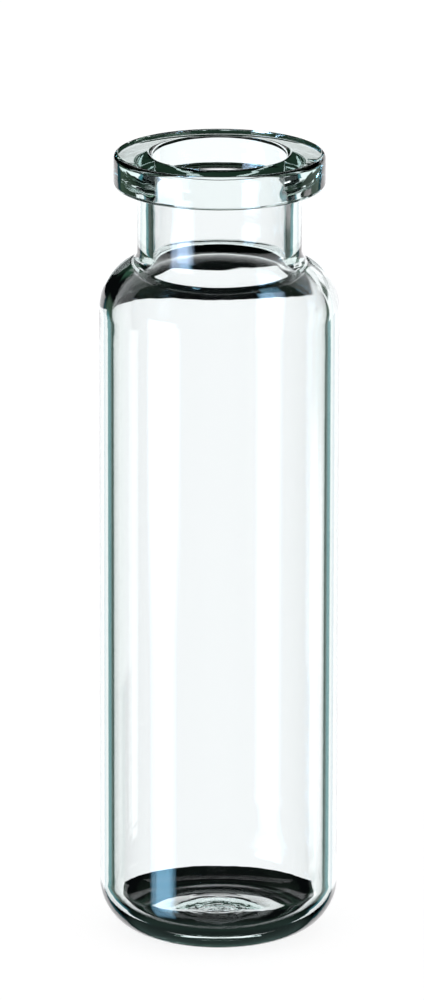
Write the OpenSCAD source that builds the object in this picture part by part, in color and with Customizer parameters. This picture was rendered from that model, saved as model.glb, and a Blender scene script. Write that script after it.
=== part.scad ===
// Crimp-neck headspace vial with a 20 mm finish, formed from one length of clear glass tubing.
// It is one piece of glass and a surface of revolution: the section of its wall is drawn in the
// plane, as the outside profile less the cavity, and turned once round the axis.
//
// Frame: millimetres, +Z along the axis and out of the mouth.  The origin is on the axis, in the
// plane that the vial stands on.

/* [Overall] */
// Height from the standing plane to the sealing face
overall_h = 75.5; // [40:0.5:120]
// Steps round a full circle in the drawn preview
facets = 180; // [48:12:360]

/* [Body] */
// Outside diameter of the tube that the body is made from
body_d = 22.5; // [21:0.1:30]
// Wall thickness of the body
body_wall = 1.3; // [0.7:0.05:1.6]

/* [Base] */
// Outside radius of the heel, where the body turns under
heel_r = 4.85; // [3:0.05:6]
// Inside radius between the body wall and the floor
heel_inner_r = 2.9; // [1.5:0.1:4.2]
// Thickness of the floor at the ring that the vial stands on
floor_t = 1.9; // [1.1:0.05:2.5]
// Diameter of the dimple pushed up into the underside
dimple_d = 8.4; // [4:0.1:10]
// Depth of the dimple at its centre
dimple_h = 0.5; // [0.2:0.05:0.8]
// Diameter of the low mound on the floor, above the dimple
mound_d = 8.8; // [5:0.1:11]
// Height of the mound at its centre
mound_h = 0.2; // [0.1:0.05:0.8]

/* [Shoulder] */
// Outside radius of the shoulder
shoulder_r = 4.9; // [3:0.1:6]
// Inside radius of the shoulder
shoulder_inner_r = 4; // [2.5:0.1:4.6]
// How far the centre of the inside rounding lies below that of the outside, which makes the
// glass thicker towards the neck
hollow_drop = 0.4; // [0:0.05:0.8]
// Outside fillet between the shoulder and the neck
neck_fillet_r = 1.3; // [0.5:0.1:2]
// Inside rounding where the shoulder runs into the bore
bore_lip_r = 2.15; // [0.8:0.05:2.6]

/* [Neck] */
// Outside diameter of the neck
neck_d = 15.4; // [15:0.1:16.5]
// Diameter of the bore through the neck and the mouth
bore_d = 12.4; // [11.5:0.1:13.2]
// Length of the straight neck, from the shoulder's fillet to the flange
neck_len = 6.15; // [2:0.05:10]

/* [Crimp flange] */
// Diameter of the flange that the cap is crimped round
flange_d = 19.8; // [18.5:0.1:21]
// Thickness of the flange
flange_t = 3.2; // [2.5:0.05:4.5]
// Rounding of the flange's upper outer edge
flange_top_r = 0.5; // [0.2:0.05:0.8]
// Rounding of the flange's lower outer edge
flange_low_r = 0.5; // [0.2:0.05:0.8]
// Fillet between the underside of the flange and the neck
flange_fillet_r = 0.35; // [0.2:0.05:1]
// Rounding of the mouth, where the bore meets the sealing face
mouth_r = 0.6; // [0.2:0.05:0.8]

/* [Hidden] */
$fn = facets;

// Overlap that makes neighbouring regions of the section merge
lap = 0.01;

body_r = body_d / 2;
body_inner_r = body_r - body_wall;
neck_r = neck_d / 2;
bore_r = bore_d / 2;
flange_r = flange_d / 2;
flange_z = overall_h - flange_t;

// Centres of the shoulder's arc and of the neck fillet that touches it.  Where the shoulder is
// wide enough to have a flat top, the fillet stands on the flat instead
shoulder_c = body_r - shoulder_r;
neck_fillet_c = neck_r + neck_fillet_r;
neck_fillet_dr = max(0, neck_fillet_c - shoulder_c);
shoulder_rise = sqrt(pow(shoulder_r + neck_fillet_r, 2) - pow(neck_fillet_dr, 2));
neck_fillet_z = flange_z - neck_len;
shoulder_z = neck_fillet_z - shoulder_rise;

// The same pair inside: the hollow of the shoulder and the rounded lip of the bore
hollow_c = body_inner_r - shoulder_inner_r;
hollow_z = shoulder_z - hollow_drop;
bore_lip_c = bore_r + bore_lip_r;
bore_lip_dr = max(0, bore_lip_c - hollow_c);
bore_lip_z = hollow_z
    + sqrt(pow(shoulder_inner_r + bore_lip_r, 2) - pow(bore_lip_dr, 2));

// Turns that point a corner's two sides inward or outward along r, and up or down along Z
IN_UP = 90;
IN_DOWN = 180;
OUT_DOWN = 270;

// Point at distance ra from a, on the way to b: where two arcs with these centres touch
function touch(a, ra, b) = a + ra * (b - a) / norm(b - a);

// Radius of the sphere whose cap has this diameter and height
function cap_radius(d, h) = (d * d / 4 + h * h) / (2 * h);

// What a rounding of radius r takes off, or a fillet fills, at a square corner.  The corner is
// at the point given, and its sides run +X and +Y before the turn
module corner(at, r, turn) {
    translate(at) rotate(turn) difference() {
        translate([-lap, -lap]) square(r + lap);
        translate([r, r]) circle(r);
    }
}

// Quarter disc that bulges outward and up from its centre, with the flat-topped core inside it
module quarter_dome(c, z, r) {
    translate([c, z]) intersection() {
        circle(r);
        square(r);
    }
    translate([0, z]) square([c + lap, r]);
}

// Region between a straight side, the centre of the fillet beside it and the point where the
// fillet touches the shoulder's arc.  The fillet's own disc is cut from it, or left in it
module web(side, fillet, fillet_r, arc_c, arc_z) {
    arc = [min(fillet[0], arc_c), arc_z];
    contact = touch(fillet, fillet_r, arc);
    polygon([[side - lap, contact[1]], contact, fillet, [side - lap, fillet[1]]]);
}

// Outside profile of the glass, filled to the axis
module outside() {
    neck_fillet = [neck_fillet_c, neck_fillet_z];
    difference() {
        union() {
            square([body_r, shoulder_z + lap]);
            quarter_dome(shoulder_c, shoulder_z, shoulder_r);
            web(neck_r, neck_fillet, neck_fillet_r, shoulder_c, shoulder_z);
            square([neck_r, overall_h]);
            translate([0, flange_z]) square([flange_r, flange_t]);
            corner([neck_r, flange_z], flange_fillet_r, OUT_DOWN);
        }
        corner([body_r, 0], heel_r, IN_UP);
        translate(neck_fillet) circle(neck_fillet_r);
        corner([flange_r, flange_z], flange_low_r, IN_UP);
        corner([flange_r, overall_h], flange_top_r, IN_DOWN);
        dimple();
    }
}

// Shallow dome of air pushed up into the underside
module dimple() {
    r = cap_radius(dimple_d, dimple_h);
    translate([0, dimple_h - r]) circle(r);
}

// Inside of the vial: the body's hollow, the shoulder, the bore and the rounded mouth
module cavity() {
    bore_lip = [bore_lip_c, bore_lip_z];
    difference() {
        union() {
            translate([0, floor_t]) square([body_inner_r, hollow_z + lap - floor_t]);
            quarter_dome(hollow_c, hollow_z, shoulder_inner_r);
            web(bore_r, bore_lip, bore_lip_r, hollow_c, hollow_z);
            translate([0, floor_t]) square([bore_r, overall_h + lap - floor_t]);
            corner([bore_r, overall_h], mouth_r, OUT_DOWN);
        }
        corner([body_inner_r, floor_t], heel_inner_r, IN_UP);
        translate(bore_lip) circle(bore_lip_r);
        mound();
    }
}

// Low dome of glass on the floor, above the dimple
module mound() {
    r = cap_radius(mound_d, mound_h);
    translate([0, floor_t + mound_h - r]) circle(r);
}

// The vial, one piece of glass
module vial() {
    color("azure", 0.35) rotate_extrude() difference() {
        outside();
        cavity();
    }
}

vial();
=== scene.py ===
# %% [markdown]
# # A glass sample vial, drawn as half a section and turned
#
# A vial is a length of glass tube whose ends were softened in a flame while the tube turned: one
# end was closed into a base, the other was squeezed into a neck and pressed into a flange.
# Everything about it is round, so the whole shape is one line, turned about the upright axis.
# The CAD solid has the right sizes, but its facets are too coarse for clear glass, where each
# facet bends the light its own way. So the vial is drawn again here with the same sizes and far
# more steps.

# %% Load the fixed frame
import math

import bpy
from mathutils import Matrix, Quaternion, Vector


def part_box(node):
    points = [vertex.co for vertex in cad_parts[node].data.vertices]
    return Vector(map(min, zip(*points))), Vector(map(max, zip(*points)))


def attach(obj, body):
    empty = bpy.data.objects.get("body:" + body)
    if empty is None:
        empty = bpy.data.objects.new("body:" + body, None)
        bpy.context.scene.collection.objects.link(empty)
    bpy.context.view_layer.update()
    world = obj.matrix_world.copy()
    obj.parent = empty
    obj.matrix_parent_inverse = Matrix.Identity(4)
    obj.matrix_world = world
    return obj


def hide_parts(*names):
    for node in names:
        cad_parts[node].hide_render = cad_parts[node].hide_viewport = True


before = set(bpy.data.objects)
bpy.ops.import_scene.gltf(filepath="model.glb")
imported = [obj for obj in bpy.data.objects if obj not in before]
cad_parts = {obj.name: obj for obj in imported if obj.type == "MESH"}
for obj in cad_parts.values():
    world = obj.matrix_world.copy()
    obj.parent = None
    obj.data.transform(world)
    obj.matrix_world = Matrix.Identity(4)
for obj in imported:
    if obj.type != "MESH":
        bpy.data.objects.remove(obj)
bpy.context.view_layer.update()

# %% [markdown]
# ## The sizes
#
# All lengths are in metres and have the names that the CAD source gives them. The height and the
# width of the body come from the CAD node itself, so the two can't drift apart.

# %% Sizes of the vial
mm = 0.001
box_low, box_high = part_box("vial")
overall_h = box_high[2] - box_low[2]
body_r = (box_high[0] - box_low[0]) / 2
body_wall = 1.3 * mm
heel_r, heel_inner_r, floor_t = 4.85 * mm, 2.9 * mm, 1.9 * mm
dimple_d, dimple_h = 8.4 * mm, 0.5 * mm
mound_d, mound_h = 8.8 * mm, 0.2 * mm
shoulder_r, shoulder_inner_r, hollow_drop = 4.9 * mm, 4 * mm, 0.4 * mm
neck_fillet_r, bore_lip_r = 1.3 * mm, 2.15 * mm
neck_r, bore_r, neck_len = 7.7 * mm, 6.2 * mm, 6.15 * mm
flange_r, flange_t = 9.9 * mm, 3.2 * mm
flange_top_r, flange_low_r, flange_fillet_r, mouth_r = 0.5 * mm, 0.5 * mm, 0.35 * mm, 0.6 * mm

body_inner_r = body_r - body_wall
flange_z = overall_h - flange_t
neck_fillet_z = flange_z - neck_len
shoulder_c, neck_fillet_c = body_r - shoulder_r, neck_r + neck_fillet_r
shoulder_z = neck_fillet_z - math.sqrt(
    (shoulder_r + neck_fillet_r) ** 2 - (neck_fillet_c - shoulder_c) ** 2
)
hollow_z = shoulder_z - hollow_drop
hollow_c, bore_lip_c = body_inner_r - shoulder_inner_r, bore_r + bore_lip_r
bore_lip_z = hollow_z + math.sqrt(
    (shoulder_inner_r + bore_lip_r) ** 2 - (bore_lip_c - hollow_c) ** 2
)
print("height %.2f mm, body %.2f mm" % (overall_h / mm, 2 * body_r / mm))

# %% [markdown]
# ## A pen for the section
#
# A section is straights and arcs. With one vertex selected in edit mode, extruding it draws a
# straight, and spinning it round a centre draws an arc, so two small helpers are the whole pen.
# The section lies in the XZ plane, with the axis at X = 0. A positive turn is anticlockwise when
# it is seen from the front.


# %% The pen
def pen_down(x, z):
    """A single vertex: a small plane, merged at its centre."""
    bpy.ops.object.select_all(action="DESELECT")
    bpy.ops.mesh.primitive_plane_add(size=mm, location=(0, 0, 0))
    bpy.ops.object.mode_set(mode="EDIT")
    bpy.ops.mesh.select_all(action="SELECT")
    bpy.ops.mesh.merge(type="CENTER")
    bpy.ops.transform.translate(value=(x, 0, z))
    return bpy.context.object


def straight(dx, dz):
    bpy.ops.mesh.extrude_region_move(TRANSFORM_OT_translate={"value": (dx, 0, dz)})


def arc(centre_x, centre_z, turn, steps):
    bpy.ops.mesh.spin(
        steps=steps,
        angle=abs(turn),
        center=(centre_x, 0, centre_z),
        axis=(0, 1 if turn > 0 else -1, 0),
    )


quarter = math.radians(90)
print("pen ready")

# %% [markdown]
# ## The outside of the glass
#
# The line starts on the axis, at the top of the shallow dimple under the base. The dimple keeps
# the middle off the table, so that the vial stands on a ring. Then come the round heel, the body,
# the shoulder, the neck and the flange that a metal cap is crimped under.

# %% Draw the outside, from the base to the flange
vial = pen_down(0, dimple_h)
vial.name = "glass_vial"
dimple_R = (dimple_d**2 / 4 + dimple_h**2) / (2 * dimple_h)
arc(0, dimple_h - dimple_R, -math.asin(dimple_d / 2 / dimple_R), 10)
straight(body_r - heel_r - dimple_d / 2, 0)
arc(body_r - heel_r, heel_r, quarter, 24)
straight(0, shoulder_z - heel_r)
shoulder_turn = math.atan2(neck_fillet_z - shoulder_z, neck_fillet_c - shoulder_c)
arc(shoulder_c, shoulder_z, shoulder_turn, 22)
arc(neck_fillet_c, neck_fillet_z, -shoulder_turn, 10)
straight(0, flange_z - flange_fillet_r - neck_fillet_z)
arc(neck_r + flange_fillet_r, flange_z - flange_fillet_r, -quarter, 8)
straight(flange_r - flange_low_r - neck_r - flange_fillet_r, 0)
arc(flange_r - flange_low_r, flange_z + flange_low_r, quarter, 10)
straight(0, flange_t - flange_low_r - flange_top_r)
arc(flange_r - flange_top_r, overall_h - flange_top_r, quarter, 10)
print(len(vial.data.vertices), "points are saved when edit mode ends")

# %% [markdown]
# ## The inside of the glass
#
# The pen goes on over the sealing face, round the mouth and down the bore. Where the bore opens
# into the shoulder the softened glass pulled itself into a rounded lip. The floor has a low mound
# in the middle, above the dimple, where the last of the closing glass gathered.

# %% Draw the inside, from the sealing face to the floor
straight(bore_r + mouth_r - flange_r + flange_top_r, 0)
arc(bore_r + mouth_r, overall_h - mouth_r, quarter, 8)
straight(0, bore_lip_z - overall_h + mouth_r)
hollow_turn = math.atan2(bore_lip_z - hollow_z, bore_lip_c - hollow_c)
arc(bore_lip_c, bore_lip_z, hollow_turn, 16)
arc(hollow_c, hollow_z, -hollow_turn, 24)
straight(0, floor_t + heel_inner_r - hollow_z)
arc(body_inner_r - heel_inner_r, floor_t + heel_inner_r, -quarter, 22)
straight(mound_d / 2 - body_inner_r + heel_inner_r, 0)
mound_R = (mound_d**2 / 4 + mound_h**2) / (2 * mound_h)
arc(0, floor_t + mound_h - mound_R, math.asin(mound_d / 2 / mound_R), 10)
bpy.ops.object.mode_set(mode="OBJECT")
end = vial.data.vertices[-1].co
print(len(vial.data.vertices), "points in the section")
print("the line ends at x = %.4f mm, z = %.3f mm" % (end.x / mm, end.z / mm))

# %% [markdown]
# ## Turn the section
#
# One full spin about Z makes the solid. The first and the last copy of the section lie on each
# other, and so do the points on the axis, so doubles are merged, and then the normals are
# recalculated to point out of the glass: up into the air inside the vial as well as outside it.

# %% Turn the section about the axis
around = 240
bpy.ops.object.mode_set(mode="EDIT")
bpy.ops.mesh.select_all(action="SELECT")
bpy.ops.mesh.spin(steps=around, angle=2 * math.pi, center=(0, 0, 0), axis=(0, 0, 1))
bpy.ops.mesh.select_all(action="SELECT")
bpy.ops.mesh.remove_doubles(threshold=0.002 * mm)
bpy.ops.mesh.normals_make_consistent(inside=False)
bpy.ops.object.mode_set(mode="OBJECT")
bpy.ops.object.shade_smooth()
bpy.ops.object.transform_apply(location=True, rotation=True, scale=True)
print(len(vial.data.vertices), "vertices,", len(vial.data.polygons), "faces")

# %% [markdown]
# ## The glass
#
# Clear glass has hardly any colour of its own: it is drawn by how it bends and mirrors what stands
# round it. The Principled shader at full transmission does both, with the index of lab glass and
# no roughness, because a flame-polished surface is as smooth as a liquid one. Index, transmission
# and metallic are the same all over, so they are set straight on the shader.

# %% Clear, smooth glass
glass = bpy.data.materials.new("clear_glass")
glass.use_nodes = True
nodes, links = glass.node_tree.nodes, glass.node_tree.links
surface = nodes["Principled BSDF"]
surface.inputs["Base Color"].default_value = (1, 1, 1, 1)
surface.inputs["Metallic"].default_value = 0
surface.inputs["Transmission Weight"].default_value = 1
surface.inputs["IOR"].default_value = 1.5
surface.inputs["Roughness"].default_value = 0.0
print("glass with an index of", surface.inputs["IOR"].default_value)

# %% [markdown]
# ## Nodes for the marks of the flame
#
# The finish is nearly perfect, but not quite. Numbers that change over the surface are worked out
# from the Object coordinates, so that a pattern stays on the glass when it is turned or viewed
# from elsewhere. Three helpers keep the node chains readable: one joins inputs, one does sums, and
# one makes smooth lumps of a given size in millimetres.


# %% Helpers for the patterns
def feed(node, *values):
    """Join or set the inputs of a node, and hand on its first output."""
    for slot, value in zip(node.inputs, values):
        if isinstance(value, (int, float)):
            slot.default_value = value
        else:
            links.new(value, slot)
    return node.outputs[0]


def sum_of(op, *values):
    """A sum in the glass material's nodes."""
    node = nodes.new("ShaderNodeMath")
    node.operation = op
    return feed(node, *values)


def noise(size_mm, detail=1.0):
    """Smooth noise from -1 to 1, with lumps of this size."""
    node = nodes.new("ShaderNodeTexNoise")
    node.inputs["Scale"].default_value = 1000 / size_mm
    node.inputs["Detail"].default_value = detail
    links.new(place.outputs["Object"], node.inputs["Vector"])
    return sum_of("MULTIPLY_ADD", node.outputs[0], 2, -1)


place = nodes.new("ShaderNodeTexCoord")
print("pattern helpers ready")

# %% [markdown]
# ## Waves where the glass was worked
#
# The body is drawn tube and is almost true. The shoulder, the neck and above all the flange were
# soft when rollers and a jaw pressed them, and they froze a little uneven. So there is one field
# of lumps, and a colour ramp over the height says how strong it is: next to nothing on the body,
# some on the shoulder, most on the flange. This could be modelled as real bumps, but they are
# hundredths of a millimetre high, and only their slope can be seen, so it goes into the normal.

# %% Uneven where it was pressed
axes = nodes.new("ShaderNodeSeparateXYZ")
links.new(place.outputs["Object"], axes.inputs[0])
height_share = sum_of("DIVIDE", axes.outputs["Z"], overall_h)
swell = nodes.new("ShaderNodeValToRGB")
ramp = swell.color_ramp
# height in millimetres, and strength: base and heel, body, shoulder, neck, flange
stops = (
    (0.0, 0.1), (5.5, 0.07), (9, 0.008), (56, 0.008), (60, 0.09),
    (66, 0.09), (70, 0.05), (72.2, 0.25), (72.6, 0.5), (75.5, 0.3),
)
highest_lump = 0.12  # millimetres, where the strength is 1
ramp.elements[0].position, ramp.elements[-1].position = 0, 1
for z_mm, amount in stops[1:-1]:
    ramp.elements.new(z_mm * mm / overall_h)
for element, (z_mm, amount) in zip(ramp.elements, stops):
    element.color = (amount, amount, amount, 1)
links.new(height_share, swell.inputs["Fac"])
lumps = sum_of("ADD", noise(4.5), sum_of("MULTIPLY", noise(1.6), 0.25))
lumps = sum_of("MULTIPLY", lumps, sum_of("MULTIPLY", swell.outputs[0], highest_lump))
print("waves follow", len(stops), "stops over the height")

# %% [markdown]
# ## Ripples in the middle of the base
#
# The base closed like the eye of a whirlpool: the last glass ran together in the middle and left
# fine rings, which shimmer when one looks down into the vial. They are a sine of the distance from
# the axis, upset by noise so that they aren't machine-made, and they fade out a few millimetres
# from the middle. They are only on the dimple and on the mound above it.

# %% Rings in the base
ring_spacing, ring_height = 0.85 * mm, 0.006  # the height is in millimetres
full_radius, last_radius = 2.2 * mm, 4.2 * mm
x_squared, y_squared = (sum_of("POWER", axes.outputs[axis], 2) for axis in "XY")
radius = sum_of("SQRT", sum_of("ADD", x_squared, y_squared))
wander = sum_of("MULTIPLY", noise(1.8), 3)
phase = sum_of("MULTIPLY_ADD", radius, 2 * math.pi / ring_spacing, wander)
rings = sum_of("ADD", sum_of("SINE", phase), sum_of("MULTIPLY", noise(0.6, 2.0), 1.5))
fading = nodes.new("ShaderNodeMapRange")
fading.interpolation_type = "SMOOTHSTEP"
near_axis = feed(fading, radius, full_radius, last_radius, 1, 0)
in_base = sum_of("LESS_THAN", axes.outputs["Z"], floor_t + 2 * mound_h)
rings = sum_of("MULTIPLY", rings, ring_height)
rings = sum_of("MULTIPLY", rings, sum_of("MULTIPLY", near_axis, in_base))
print("rings from the axis to %.1f mm out" % (last_radius / mm))

# %% [markdown]
# ## Join it up, and a tint for the depth
#
# Both patterns are heights in millimetres, so they are added and go into one Bump node. The tint
# isn't on the surface but in the volume: light loses a little red for each millimetre of glass,
# so the wall stays clear and only edges, where the light goes a long way, look green. The new
# piece then takes the place of the CAD node and rides on its body.

# %% Bump, tint, and the material on the vial
bump = nodes.new("ShaderNodeBump")
bump.inputs["Strength"].default_value = 1
bump.inputs["Distance"].default_value = mm
links.new(sum_of("ADD", lumps, rings), bump.inputs["Height"])
links.new(bump.outputs[0], surface.inputs["Normal"])
tint = nodes.new("ShaderNodeVolumeAbsorption")
tint.inputs["Color"].default_value = (0.24, 0.88, 0.8, 1)
tint.inputs["Density"].default_value = 24
links.new(tint.outputs["Volume"], nodes["Material Output"].inputs["Volume"])
vial.data.materials.clear()
vial.data.materials.append(glass)
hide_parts("vial")
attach(vial, "root")
print("glass on", vial.name)

# %% [markdown]
# ## The floor
#
# The vial stands on a wide white floor. Most of its white is its own light, so that it stays
# white to the horizon, and the rest is lit by the studio, which leaves a faint soft shadow.
# Rays that have passed through the glass don't meet the floor: they go on to the studio's cards.

# %% Floor
bpy.ops.object.select_all(action="DESELECT")
bpy.ops.mesh.primitive_plane_add(size=40, location=(0, 0, -0.01 * mm))
floor = bpy.context.object
floor.name = "studio_floor"
floor_paint = bpy.data.materials.new("white_floor")
floor_paint.use_nodes = True
paint = floor_paint.node_tree.nodes["Principled BSDF"]
paint.inputs["Base Color"].default_value = (0.25, 0.25, 0.25, 1)
paint.inputs["Roughness"].default_value = 0.6
paint.inputs["Specular IOR Level"].default_value = 0.0
paint.inputs["Emission Color"].default_value = (1, 1, 1, 1)
paint.inputs["Emission Strength"].default_value = 0.88
floor.data.materials.append(floor_paint)
floor.visible_transmission = False
floor.visible_glossy = False
print("floor ready")

# %% [markdown]
# ## Cards behind the glass
#
# Clear glass is drawn by what stands behind it. A product table does that with cards: a white one
# just wide enough to fill the glass, so that its ends, bent inwards by the wall, leave a dark
# line down each side, and a black one below it that blackens the base. Two small white cards
# stand close behind the body and the neck, and keep them clear when one looks from other
# heights. The camera and the floor don't see the cards: only light that comes through the glass.

# %% Cards
def studio_card(name, width, low, high, distance, level):
    """An upright card behind the vial, seen only through the glass."""
    bpy.ops.object.select_all(action="DESELECT")
    bpy.ops.mesh.primitive_plane_add(
        size=1, location=(0, distance, (low + high) / 2), rotation=(math.radians(90), 0, 0)
    )
    card = bpy.context.object
    card.name = name
    card.scale = (width, high - low, 1)
    bpy.ops.object.transform_apply(location=True, rotation=True, scale=True)
    paper = bpy.data.materials.new(name)
    paper.use_nodes = True
    paper.node_tree.nodes.clear()
    light = paper.node_tree.nodes.new("ShaderNodeEmission")
    light.inputs["Color"].default_value = (*level, 1)
    out = paper.node_tree.nodes.new("ShaderNodeOutputMaterial")
    paper.node_tree.links.new(light.outputs[0], out.inputs["Surface"])
    card.data.materials.append(paper)
    card.visible_camera = card.visible_diffuse = card.visible_shadow = False
    return card


white, black = (1.125, 1.12, 1.135), (0.0022, 0.0028, 0.003)
far, close, seam = 200 * mm, 17 * mm, -73 * mm
studio_card("white_card_behind", 240 * mm, seam, 10.5 * mm, far, white)
black_card = studio_card("black_card_below", 104 * mm, -420 * mm, seam, far, black)
black_card.visible_glossy = False
studio_card("white_card_body", 26 * mm, 17.8 * mm, 58.3 * mm, close, white)
studio_card("white_card_neck", 15 * mm, 66.8 * mm, 74.6 * mm, close, white)
print("cards ready")

# %% [markdown]
# ## The studio round the glass
#
# The rest of the studio is painted on the sky, as windows with soft edges: each has a colour, a
# turn from straight ahead, a width, and a low and a high edge, all in degrees. This costs no
# geometry, every window can be moved by its numbers, and the light stays the same wherever the
# vial is looked at from, because a direction in the world doesn't turn with the camera.

# %% A helper that paints windows
world = bpy.data.worlds.new("studio")
bpy.context.scene.world = world
world.use_nodes = True
wn, wl = world.node_tree.nodes, world.node_tree.links
wn.clear()


def number(op, *values):
    """A sum in the world's nodes."""
    node = wn.new("ShaderNodeMath")
    node.operation = op
    for slot, value in zip(node.inputs, values):
        if isinstance(value, (int, float)):
            slot.default_value = value
        else:
            wl.new(value, slot)
    return node.outputs[0]


def fade(value, start, stop):
    """1 below start, 0 above stop, smooth between."""
    node = wn.new("ShaderNodeMapRange")
    node.interpolation_type = "SMOOTHSTEP"
    wl.new(value, node.inputs["Value"])
    node.inputs["From Min"].default_value = start
    node.inputs["From Max"].default_value = stop
    node.inputs["To Min"].default_value = 1
    node.inputs["To Max"].default_value = 0
    return node.outputs["Result"]


look = wn.new("ShaderNodeTexCoord").outputs["Generated"]
parts = wn.new("ShaderNodeSeparateXYZ")
wl.new(look, parts.inputs[0])
turn_deg = number("DEGREES", number("ARCTAN2", parts.outputs["X"], parts.outputs["Y"]))
rise_deg = number("DEGREES", number("ARCSINE", parts.outputs["Z"]))


def set_colour(slot, colour):
    """Set a colour input to a plain colour, or join a node's output to it."""
    if isinstance(colour, tuple):
        slot.default_value = (*colour, 1)
    else:
        wl.new(colour, slot)


# a Mix node has its colours at these places among its sockets
colour_a, colour_b, colour_out = 6, 7, 2


def window(below, colour, turn, width, low, high, soft_side, soft_end, rise=rise_deg):
    """A soft-edged window of one colour over what the studio already shows."""
    off = number("ABSOLUTE", number("WRAP", number("SUBTRACT", turn_deg, turn), 180, -180))
    side = fade(off, width / 2 - soft_side, width / 2 + soft_side)
    middle, half = (low + high) / 2, (high - low) / 2
    above = number("ABSOLUTE", number("SUBTRACT", rise, middle))
    ends = fade(above, half - soft_end, half + soft_end)
    mix = wn.new("ShaderNodeMix")
    mix.data_type = "RGBA"
    wl.new(number("MULTIPLY", side, ends), mix.inputs[0])
    set_colour(mix.inputs[colour_a], below)
    set_colour(mix.inputs[colour_b], colour)
    return mix.outputs[colour_out]


print("window helper ready")

# %% [markdown]
# ## What bent light sees
#
# Glass gathers light from odd directions at its rims, heel and shoulder. Most of the studio is
# black or a dark green, as of a room beyond the table. A low white window lights the base and the
# neck's foot, one on the right lights the right shoulder, and two small ones higher up light the
# flange. A tall blue-white lamp behind the camera is what the glass mirrors as a strip on the left.

# %% Windows for light that bounces inside the glass
bottle, fern = (0.006, 0.013, 0.010), (0.04, 0.1, 0.065)
moss, teal = (0.05, 0.08, 0.058), (0.06, 0.22, 0.26)
all_round = 400
lamp = ((3, 3, 3), 66.5, 11, -18.5, -15, 2, 0.7)

# the low window's upper edge climbs to both sides, faster to the right, for as far as roof_top
roof_right, roof_left, roof_top = 0.55, -0.2, 9.35
slope = number(
    "MAXIMUM", number("MULTIPLY", turn_deg, roof_right), number("MULTIPLY", turn_deg, roof_left)
)
roof = number("SUBTRACT", rise_deg, number("MINIMUM", slope, roof_top))

# colour, turn, width, low edge, high edge, softness of the sides, softness of the ends
seen = black
for values in (
    (bottle, 0, all_round, -3, 3, 3, 3),  # the room's horizon
    (moss, 0, all_round, 32, 54, 3, 3),  # a paler band high up
    (bottle, 0, all_round, -100, -39, 3, 2),  # the table
    (teal, 0, 81, -38, -3, 2.5, 3),  # a low wall in front
    (black, 0, 64, -12, 10, 3, 2),  # the dark opening in it
    (fern, 0, 50, 11, 20, 4, 1),  # a dim strip over the opening
    (white, 0, 65, -38, -11, 1.5, 0.5),  # the low white window
    (white, 0, 66, -18, -9, 2, 0.4, roof),  # its climbing upper edge
    (white, 26.5, 25, -12, 17, 1.5, 1),  # the window on the right
    (moss, 30, 11, 4, 11, 2, 1.5),  # a dim pane in it
    (white, 16, 12, 22, 42, 2, 2),  # two small windows higher up
    (white, -16, 12, 22, 42, 2, 2),
    ((2.2, 4.6, 6.6), -122.5, 22, -36, -10, 2.5, 5),  # the tall lamp, lower part
    ((6, 8, 11), -123, 28, -15.5, 10, 4, 1.5),  # and its brighter upper part
    lamp,
):
    seen = window(seen, *values)
print("windows for bent light ready")

# %% [markdown]
# ## What the outside mirrors, and what is seen straight through
#
# The outer surface mirrors a few per cent of the room: a green table below, and pale green walls
# left and right, which give the flange and the edges their olive and teal. Light that goes
# straight through, with no bounce inside, has a pale wall all round the sides and the back, so
# that the vial looks clear from there too.

# %% Windows for mirrored and for straight light
mirrored = seen
for values in (
    ((0.17, 0.27, 0.25), 0, all_round, -100, -42, 3, 6),  # the green table
    ((0.28, 0.5, 0.34), -59, 36, -24, 4, 4, 3),  # the wall on the left
    ((0.6, 0.85, 0.7), 59, 36, -24, 4, 4, 3),  # the brighter wall on the right
    lamp,
):
    mirrored = window(mirrored, *values)

through, behind_camera = seen, 180
for values in (
    (white, behind_camera, 310, -42, -20.5, 3, 1.5),  # all but straight ahead, looking down
    (white, behind_camera, 250, -34, 7, 3, 1),  # the sides and the back, nearly level
    (white, behind_camera, 180, -80, -30, 3, 3),  # the back half, looking steeply down
    (white, 0, all_round, -110, -66, 3, 2),  # straight down
):
    through = window(through, *values)
print("windows for mirrored and straight light ready")

# %% [markdown]
# ## Who sees what
#
# The camera sees plain white, and dull things are lit by a plain even grey. Only light that has
# touched the glass sees the windows, and Glossy Depth tells light that bounced inside from light
# that went straight through. Smooth glass counts as glossy as well as transmitting, so the test
# for transmission is outside the glossy one, which is left with true mirroring.

# %% Join the windows to the kinds of light
light_path = wn.new("ShaderNodeLightPath")


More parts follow.
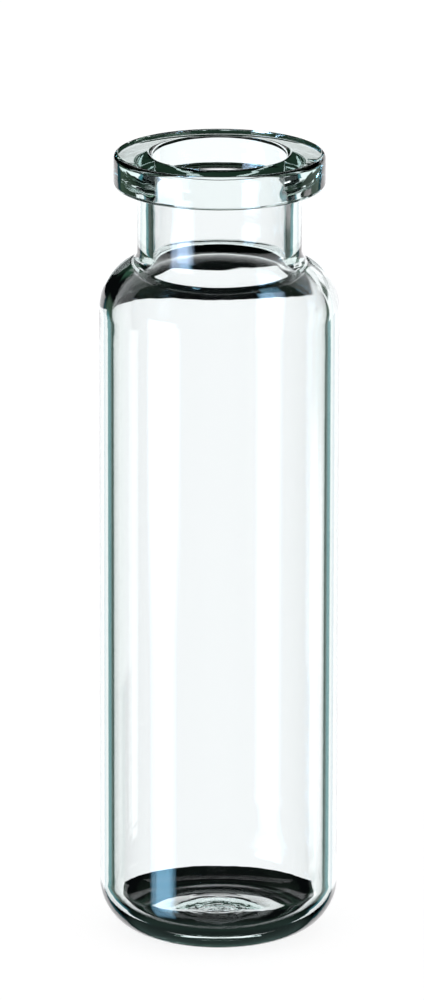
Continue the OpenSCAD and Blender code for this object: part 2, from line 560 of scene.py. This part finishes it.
def when(ray, value, otherwise):
    """One value for this kind of light, and the other for the rest."""
    mix = wn.new("ShaderNodeMix")
    mix.data_type = "RGBA"
    wl.new(light_path.outputs[ray] if isinstance(ray, str) else ray, mix.inputs[0])
    set_colour(mix.inputs[colour_b], value)
    set_colour(mix.inputs[colour_a], otherwise)
    return mix.outputs[colour_out]


plain = (0.65, 0.65, 0.65)
bounced = number("GREATER_THAN", light_path.outputs["Glossy Depth"], 0.5)
result = when("Is Glossy Ray", mirrored, plain)
result = when("Is Transmission Ray", when(bounced, seen, through), result)
result = when("Is Camera Ray", (1.0, 1.0, 1.0), result)
backdrop = wn.new("ShaderNodeBackground")
wl.new(result, backdrop.inputs["Color"])
wl.new(backdrop.outputs[0], wn.new("ShaderNodeOutputWorld").inputs["Surface"])
bpy.context.scene.view_settings.view_transform = "Standard"
print("world ready")

# %% [markdown]
# ## The camera
#
# A long lens from a metre away keeps the sides of the tube nearly parallel, and looking down by
# about sixteen degrees opens the mouth and the base into ellipses. The camera aims at the middle
# of the vial, and a fraction of a degree of pan, tilt and lean then sets the vial's place in the
# frame. Depth of field stays off.

# %% Camera
camera_data = bpy.data.cameras.new("camera")
camera = bpy.data.objects.new("camera", camera_data)
bpy.context.collection.objects.link(camera)
sensor_width, distance = 36, 1.0
tall_frame = 1000  # pixels
pixels_per_mm = 10.628
camera_data.sensor_width = sensor_width
camera_data.lens = sensor_width * distance / (tall_frame / pixels_per_mm * mm)
elevation = math.radians(15.82)
middle = Vector((0, 0, overall_h / 2))
camera.location = middle + distance * Vector((0, -math.cos(elevation), math.sin(elevation)))
aim = (middle - camera.location).to_track_quat("-Z", "Y")
left, up, lean = 0.000665, 0.0040, math.radians(0.1)
camera.rotation_mode = "QUATERNION"
camera.rotation_quaternion = (
    aim @ Quaternion((0, 1, 0), left) @ Quaternion((1, 0, 0), up) @ Quaternion((0, 0, 1), lean)
)
camera_data.clip_start, camera_data.clip_end = 0.05, 50
bpy.context.scene.camera = camera
print("lens %.1f mm" % camera_data.lens)
